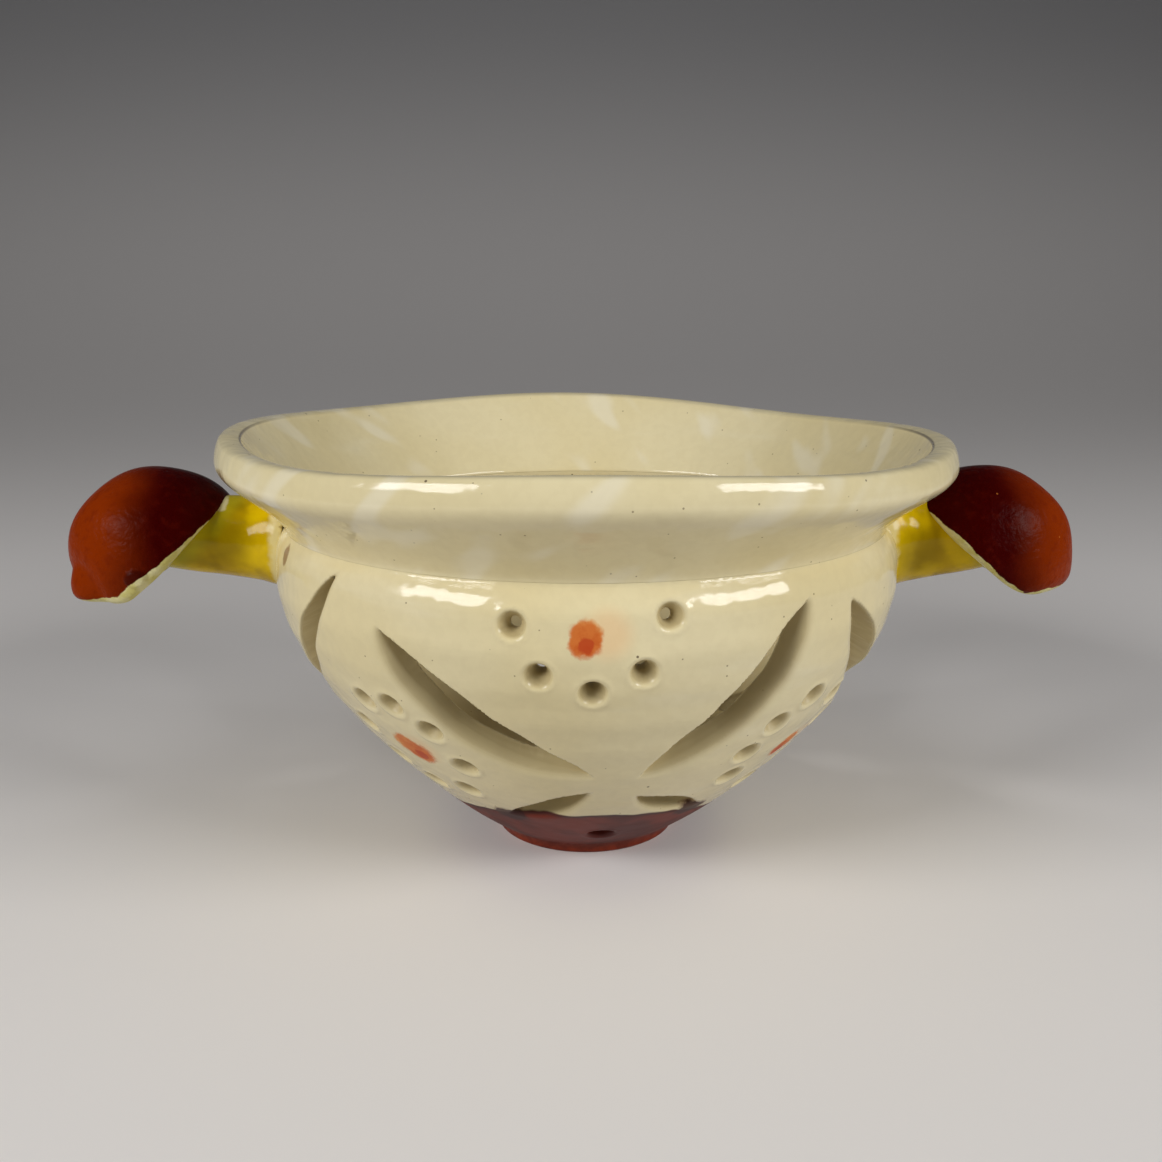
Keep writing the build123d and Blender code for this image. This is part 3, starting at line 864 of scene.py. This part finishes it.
class Paint:
    """A procedural material that is built up coat by coat, in millimetres."""

    def __init__(self, name, colour):
        self.colour = colour
        self.material = bpy.data.materials.new(name)
        self.material.use_nodes = True
        self.tree = self.material.node_tree
        self.shader = self.tree.nodes["Principled BSDF"]
        coordinates = self.node("TexCoord", {}).outputs["Object"]
        scaling = {0: coordinates, "Scale": 1.0 / MM}
        self.place = self.node("VectorMath", scaling, operation="SCALE").outputs[0]
        self.x, self.y, self.z = self.node("SeparateXYZ", {0: self.place}).outputs

    def node(self, kind, inputs, **settings):
        """A shader node with its settings, and its inputs set or linked."""
        made = self.tree.nodes.new("ShaderNode" + kind)
        for key, value in settings.items():
            setattr(made, key, value)
        for socket, value in inputs.items():
            if isinstance(value, bpy.types.NodeSocket):
                self.tree.links.new(value, made.inputs[socket])
            else:
                made.inputs[socket].default_value = value
        return made

    def math(self, operation, a, b=0.0):
        """One step of arithmetic."""
        return self.node("Math", {0: a, 1: b}, operation=operation).outputs[0]

    def times(self, a, b):
        """One value times another."""
        return self.math("MULTIPLY", a, b)

    def vector_math(self, operation, a, b=(0.0, 0.0, 0.0)):
        """One step of arithmetic on vectors, with its outputs Vector and Value."""
        return self.node("VectorMath", {0: a, 1: b}, operation=operation).outputs

    def ramp(self, value, low, high, start=0.0, end=1.0):
        """Start below low, end above high, smooth between."""
        inputs = {"Value": value, "From Min": low, "From Max": high, "To Min": start, "To Max": end}
        return self.node("MapRange", inputs, interpolation_type="SMOOTHSTEP").outputs[0]

    def noise(self, scale, detail=3.0, stretch=(1.0, 1.0, 1.0), shift=(0.0, 0.0, 0.0), place=None):
        """Soft noise with features about 1 / scale millimetres across."""
        inputs = {"Vector": self.place if place is None else place, "Scale": stretch, "Location": shift}
        mapped = self.node("Mapping", inputs)
        inputs = {"Vector": mapped.outputs[0], "Scale": scale, "Detail": detail}
        return self.node("TexNoise", inputs).outputs[0]

    def wander(self, scale, width):
        """Noise about zero, over a width."""
        return self.math("MULTIPLY", self.math("SUBTRACT", self.noise(scale), 0.5), width)

    def patchy(self, scale, low, high, detail=3.0):
        """A value that drifts between low and high."""
        return self.ramp(self.noise(scale, detail), 0.3, 0.7, low, high)

    def specks(self, spacing, size, share, strength):
        """As strong as asked in small dots, in a share of the cells of a given spacing."""
        cells = self.node("TexVoronoi", {"Vector": self.place, "Scale": 1.0 / spacing})
        dot = self.ramp(cells.outputs["Distance"], 0.6 * size / spacing, size / spacing, strength, 0.0)
        pick = self.node("SeparateColor", {0: cells.outputs["Color"]}).outputs[0]
        return self.math("MULTIPLY", dot, self.math("LESS_THAN", pick, share))

    def value(self, name):
        """A number stored on the mesh."""
        return self.node("Attribute", {}, attribute_name=name).outputs["Fac"]

    def distance(self, point):
        """Distance from a point, in millimetres."""
        return self.vector_math("DISTANCE", self.place, tuple(point))["Value"]

    def blot(self, point, radii, strength, ragged=0.35):
        """A stain with a ragged edge: as strong as asked within an ellipsoid, and fading out of it."""
        away = self.vector_math("SUBTRACT", self.place, tuple(point))["Vector"]
        shares = self.vector_math("DIVIDE", away, radii)["Vector"]
        reach = self.vector_math("LENGTH", shares)["Value"]
        reach = self.math("ADD", reach, self.wander(0.6, 2.0 * ragged))
        return self.ramp(reach, 0.7, 1.05, strength, 0.0)

    def mix(self, factor, a, b):
        """Colour a where the factor is 0, and b where it is 1. The node's colour sockets are 6, 7 and 2."""
        return self.node("Mix", {0: factor, 6: a, 7: b}, data_type="RGBA").outputs[2]

    def coat(self, factor, colour):
        """Lays a colour over those below, by a factor."""
        self.colour = self.mix(factor, self.colour, colour)

    def finish(self, roughness, gloss, bump, bump_depth):
        """Links the colour, roughness and bump, sets the strength of reflection and returns the material."""
        bump = self.node("Bump", {"Height": bump, "Distance": bump_depth * MM})
        self.shader.inputs["Specular IOR Level"].default_value = gloss
        self.tree.links.new(self.colour, self.shader.inputs["Base Color"])
        self.tree.links.new(roughness, self.shader.inputs["Roughness"])
        self.tree.links.new(bump.outputs[0], self.shader.inputs["Normal"])
        return self.material


def cream_glaze(paint):
    """Drifts, thin places, mottling and iron specks of the cream glaze."""
    paint.coat(paint.ramp(paint.noise(0.02, 2.0), 0.35, 0.65), CREAM_DRIFT)
    thin = paint.noise(0.06, 4.0, stretch=(0.4, 0.4, 2.2))
    paint.coat(paint.ramp(thin, 0.56, 0.75, 0.0, 0.4), CREAM_THIN)
    paint.coat(paint.ramp(paint.noise(0.5), 0.4, 0.62, 0.0, 0.12), CREAM_MOTTLE)
    paint.coat(paint.specks(4.6, 0.34, 0.1, 0.85), SPECK)
    paint.coat(paint.specks(2.2, 0.24, 0.16, 0.65), FINE_SPECK)


def cream_bump(paint):
    """Height of the cream glaze's surface: faint throwing lines under a soft glaze."""
    lines = paint.noise(0.09, 2.0, stretch=(0.06, 0.06, 4.0))
    swell = paint.noise(0.1, 2.0)
    return paint.math("ADD", paint.times(lines, 0.12), swell)


def yellow_bleed(paint):
    """A little of the lugs' yellow, run into the cream around each lug's root."""
    reach, depth, height = YELLOW_RUN_PLACE
    for side in (-1.0, 1.0):
        paint.coat(paint.blot((side * reach, depth, height), YELLOW_RUN_RADII, 0.6), YELLOW_RUN)


def painted_dots(paint):
    """The brushed dots, each with a faint halo and a dark pool. Returns where the dots are."""
    brushed = paint.ramp(paint.noise(0.5, 4.0), 0.4, 0.6)
    dots = 0.0
    for start, end, radius in DOTS:
        beside, _ = wall_place(start[0] + HALO_SHIFT, start[1])
        paint.coat(paint.ramp(paint.distance(beside), 2.0, 6.5, 0.45, 0.0), DOT_HALO)
        for share, stroke in DOT_STROKES:
            azimuth, height = [a + share * (b - a) for a, b in zip(start, end)]
            point, _ = wall_place(azimuth, height)
            dot = paint.blot(point, (radius, radius, radius), 0.95, 0.3)
            paint.coat(dot, paint.mix(brushed, stroke, DOT_BRUSHED))
            dots = paint.math("MAXIMUM", dot, dots)
        pool, _ = wall_place(end[0], end[1] - DOT_POOL_DROP)
        paint.coat(paint.blot(pool, (1.6, 1.6, 2.0), 0.8, 0.5), DOT_POOL)
    return dots


def slip_level(paint):
    """Height of the red slip's hand-dipped edge, by azimuth."""
    azimuth = paint.math("ARCTAN2", paint.x, paint.times(paint.y, -1.0))
    wander = paint.times(paint.noise(0.11, 2.0), SLIP_WANDER)
    level = paint.math("ADD", wander, SLIP_HEIGHT - SLIP_WANDER / 2)
    for number, height, crest in SLIP_WAVES:
        turn = paint.times(paint.math("SUBTRACT", azimuth, radians(crest)), number)
        level = paint.math("ADD", level, paint.times(paint.math("COSINE", turn), height))
    return level


def slip_base(paint):
    """The red slip on the base, brighter on cut walls and dark along its edge. Returns where the slip is."""
    above = paint.math("SUBTRACT", paint.z, slip_level(paint))
    cover = paint.ramp(above, -0.25, 0.25, 1.0, 0.0)
    pools = 0.0
    for place in SLIP_POOLS:
        point, _ = wall_place(*place)
        pools = paint.math("MAXIMUM", paint.blot(point, SLIP_POOL_RADII, 0.95), pools)
    outside = paint.ramp(paint.value("depth"), *SLIP_DEPTHS, 1.0, 0.0)
    slip = paint.times(paint.math("MAXIMUM", cover, pools), outside)
    red = paint.mix(paint.ramp(paint.noise(0.08), 0.4, 0.62), SLIP_RED, SLIP_DEEP)
    above_low_holes = paint.ramp(paint.z, 12.5, 13.5, 0.0, 0.5)
    red = paint.mix(paint.times(paint.value("cut"), above_low_holes), red, SLIP_CUT_WALL)
    edge = paint.ramp(paint.math("ABSOLUTE", above), 0.4, 1.5, 0.8, 0.0)
    red = paint.mix(paint.math("MAXIMUM", edge, pools), red, SLIP_EDGE)
    paint.coat(slip, red)
    return slip


def belly_material():
    """Cream glaze with painted dots, over a base dipped in red slip."""
    paint = Paint("cream_belly", CREAM)
    cream_glaze(paint)
    cut = paint.value("cut")
    # Painted shade: the walls of the slots and holes darkened
    paint.coat(paint.times(cut, 0.75), CREAM_CUT_WALL_SHADE)
    # Painted shade on the inner face, strongest low down and gone by 62 mm up
    inside = paint.ramp(paint.value("depth"), 3.2, 4.4)
    low_down = paint.ramp(paint.z, 10.0, 62.0, 0.6, 0.0)
    paint.coat(paint.times(inside, low_down), CREAM_INSIDE_SHADE)
    dots = painted_dots(paint)
    smear, _ = wall_place(*SMEAR_PLACE)
    paint.coat(paint.blot(smear, SMEAR_RADII, 0.7), SMEAR)
    yellow_bleed(paint)
    painted = paint.math("MAXIMUM", slip_base(paint), dots)
    dull = paint.times(paint.math("MAXIMUM", painted, cut), DULL_ROUGHNESS)
    roughness = paint.math("MAXIMUM", paint.patchy(0.2, *CREAM_ROUGHNESS), dull)
    return paint.finish(roughness, GLAZE_GLOSS, cream_bump(paint), bump_depth=0.5)


def collar_material():
    """Cream glaze with whitish streaks, and a thin brown line of painted shade along the lip's inner edge."""
    paint = Paint("cream_collar", CREAM)
    cream_glaze(paint)
    twist = {"Vector": paint.place, "Angle": paint.times(paint.z, -STREAK_TWIST)}
    turned = paint.node("VectorRotate", twist, rotation_type="Z_AXIS").outputs[0]
    slant = paint.noise(0.1, 1.0, stretch=(1.0, 1.0, 0.15), shift=(3.0, 7.0, 0.0), place=turned)
    paint.coat(paint.ramp(slant, 0.56, 0.72, 0.0, 0.45), CREAM_STREAK)
    yellow_bleed(paint)
    # Painted shade: a thin dark line along the lip's inner edge, fading towards the back
    edge = paint.ramp(paint.value("lip_edge"), 0.15, 0.55, 0.85, 0.0)
    towards_front = paint.ramp(paint.y, -15.0, 30.0, 1.0, 0.15)
    paint.coat(paint.times(edge, towards_front), LIP_EDGE_SHADE)
    paint.coat(paint.blot(STAIN_PLACE, STAIN_RADII, 0.65), STAIN)
    roughness = paint.patchy(0.2, *CREAM_ROUGHNESS)
    return paint.finish(roughness, GLAZE_GLOSS, cream_bump(paint), bump_depth=0.5)


def foot_material():
    """Red clay under a thin clear glaze."""
    paint = Paint("red_clay", CLAY)
    paint.coat(paint.ramp(paint.noise(0.3, 4.0), 0.35, 0.65), CLAY_DEEP)
    return paint.finish(paint.patchy(0.6, 0.42, 0.54), GLAZE_GLOSS, paint.noise(0.5), bump_depth=0.08)


def lug_material():
    """Yellow glaze with olive mottling, greener towards the hood."""
    paint = Paint("yellow_glaze", YELLOW)
    paint.coat(paint.ramp(paint.noise(0.14), 0.38, 0.64), YELLOW_DEEP)
    blotch = paint.noise(0.12, 2.0, shift=(5.0, 1.0, 2.0))
    paint.coat(paint.ramp(blotch, 0.48, 0.7, 0.0, 0.7), OLIVE)
    # Darker olive patches on the front of each lug
    for place in LUG_DARK_PATCHES:
        paint.coat(paint.ramp(paint.distance(place), 2.0, 9.0, 0.65, 0.0), OLIVE_DARK)
    reach = paint.math("ABSOLUTE", paint.x)
    slanting = paint.math("ADD", reach, paint.times(paint.z, 0.9))
    towards_hood = paint.math("ADD", slanting, paint.times(paint.noise(0.2), 5.0))
    paint.coat(paint.ramp(towards_hood, 149.0, 155.0, 0.0, 0.6), LUG_GREEN)
    from_root = paint.math("ADD", reach, paint.times(paint.noise(0.35), 3.0))
    paint.coat(paint.ramp(from_root, 71.6, 73.2, 0.75, 0.0), LUG_ROOT)
    paint.coat(paint.blot(LUG_TIP_PLACE, LUG_TIP_RADII, 0.8), LUG_TIP)
    return paint.finish(paint.patchy(0.3, 0.08, 0.16), LUG_GLOSS, paint.noise(0.15, 2.0), bump_depth=0.3)


def hood_material():
    """Satin red-brown slip, darkened towards the bowl as painted shade, with a pale cut edge and inside."""
    paint = Paint("brown_slip", HOOD_SHADE)
    # Painted shade: the slip is dark towards the bowl and red-brown at the outer end, where the light falls
    reach = paint.math("ADD", paint.math("ABSOLUTE", paint.x), paint.wander(0.1, 8.0))
    paint.coat(paint.ramp(reach, 93.0, 109.0), HOOD_RED)
    paint.coat(paint.ramp(paint.noise(0.5, 4.0), 0.5, 0.7, 0.0, 0.3), HOOD_MOTTLE)
    paint.coat(paint.specks(3.0, 0.3, 0.04, 0.6), HOOD_FLECK)
    pad_place = (-PAD_CENTRE[0], PAD_CENTRE[1], PAD_CENTRE[2])
    paint.coat(paint.blot(pad_place, PAD_RADII, 0.85, 0.12), HOOD_PAD)
    edge = paint.math("ADD", paint.value("edge"), paint.wander(0.3, 1.6))
    pale_edge = paint.ramp(edge, -0.12, 0.12, 1.0, 0.0)
    hollow = paint.ramp(paint.value("hollow"), 0.5, 1.0, 1.0, 0.0)
    bare = paint.mix(paint.ramp(paint.noise(0.25), 0.4, 0.6), HOOD_BARE, HOOD_BARE_DEEP)
    paint.coat(paint.math("MAXIMUM", pale_edge, hollow), bare)
    peel = paint.math("ADD", paint.noise(0.9, 2.0), paint.times(paint.noise(0.25, 2.0), 2.0))
    return paint.finish(paint.patchy(0.5, 0.26, 0.38, detail=4.0), SLIP_GLOSS, peel, bump_depth=0.16)


def make_handles():
    """Both lugs and both hoods."""
    yellow = lug_material()
    brown = hood_material()
    for side, on_left in (("left", True), ("right", False)):
        lug, _ = make_handle_piece(f"{side}_lug_glaze", LugField(side), LUG_BOX, on_left)
        place_piece(lug, f"{side}_lug", yellow)
        field = HoodField(side)
        hood, points = make_handle_piece(f"{side}_hood_clay", field, HOOD_BOX, on_left)
        add_value(hood, "edge", field.edge(points))
        add_value(hood, "hollow", field.ball(points, HOOD_WALL))
        place_piece(hood, f"{side}_hood", brown)


def make_camera():
    """Camera where the photographer stood, a little to the left and above the rim."""
    data = bpy.data.cameras.new("camera")
    data.lens = 39.04
    data.sensor_width = 36.0
    data.clip_start = 0.01
    camera = add_object("camera", data)
    camera.location = (-18.7 * MM, -288.2 * MM, 130.0 * MM)
    camera.rotation_euler = (radians(90.0 - 13.74), 0.0, radians(-3.5))
    bpy.context.scene.camera = camera


def floor_material():
    """Pale floor that is seen brighter than it lights the bowl, and darkens as it rises behind."""
    paint = Paint("pale_floor", FLOOR_BOUNCE)
    rays = paint.node("LightPath", {}).outputs
    seen = paint.math("MAXIMUM", rays["Is Camera Ray"], rays["Is Glossy Ray"])
    seen = paint.math("MAXIMUM", seen, rays["Is Transmission Ray"])
    paint.coat(seen, FLOOR_SEEN)
    paint.coat(paint.ramp(paint.z, 20.0, 520.0), BACKDROP)
    paint.tree.links.new(paint.colour, paint.shader.inputs["Base Color"])
    paint.shader.inputs["Roughness"].default_value = 0.7
    return paint.material


def make_floor():
    """Floor that curves up behind the bowl."""
    data = bpy.data.meshes.new("floor")
    points = [(x, y, z) for y, z in FLOOR_CURVE for x in (-FLOOR_HALF_WIDTH, FLOOR_HALF_WIDTH)]
    strips = range(len(FLOOR_CURVE) - 1)
    data.from_pydata(points, [], [(2 * i, 2 * i + 1, 2 * i + 3, 2 * i + 2) for i in strips])
    floor = add_object("floor", data)
    floor.modifiers.new("smooth", "SUBSURF").render_levels = 3
    data.polygons.foreach_set("use_smooth", [True] * len(data.polygons))
    data.materials.append(floor_material())


def make_softbox(name, direction, power):
    """A rectangular soft light that faces the bowl."""
    data = bpy.data.lights.new(name, "AREA")
    data.shape = "RECTANGLE"
    data.size = 0.46
    data.size_y = 0.22
    data.energy = power
    lamp = add_object(name, data)
    aim = Vector(SOFTBOX_AIM)
    lamp.location = aim + Vector(direction).normalized() * SOFTBOX_DISTANCE
    lamp.rotation_euler = (aim - lamp.location).to_track_quat("-Z", "Y").to_euler()


def make_surround():
    """Dim light from all round, and colours shown without a film look."""
    world = bpy.data.worlds.new("surround")
    world.use_nodes = True
    background = world.node_tree.nodes["Background"]
    background.inputs["Color"].default_value = SURROUND
    background.inputs["Strength"].default_value = 0.1
    bpy.context.scene.world = world
    bpy.context.scene.view_settings.view_transform = "Standard"


make_camera()
make_floor()
for softbox in SOFTBOXES:
    make_softbox(*softbox)
make_surround()
place_piece(make_belly(), "bowl_belly", belly_material())
place_piece(make_collar(), "rim_collar", collar_material())
place_piece(make_foot(), "foot_ring", foot_material())
make_handles()

bpy.context.view_layer.update()
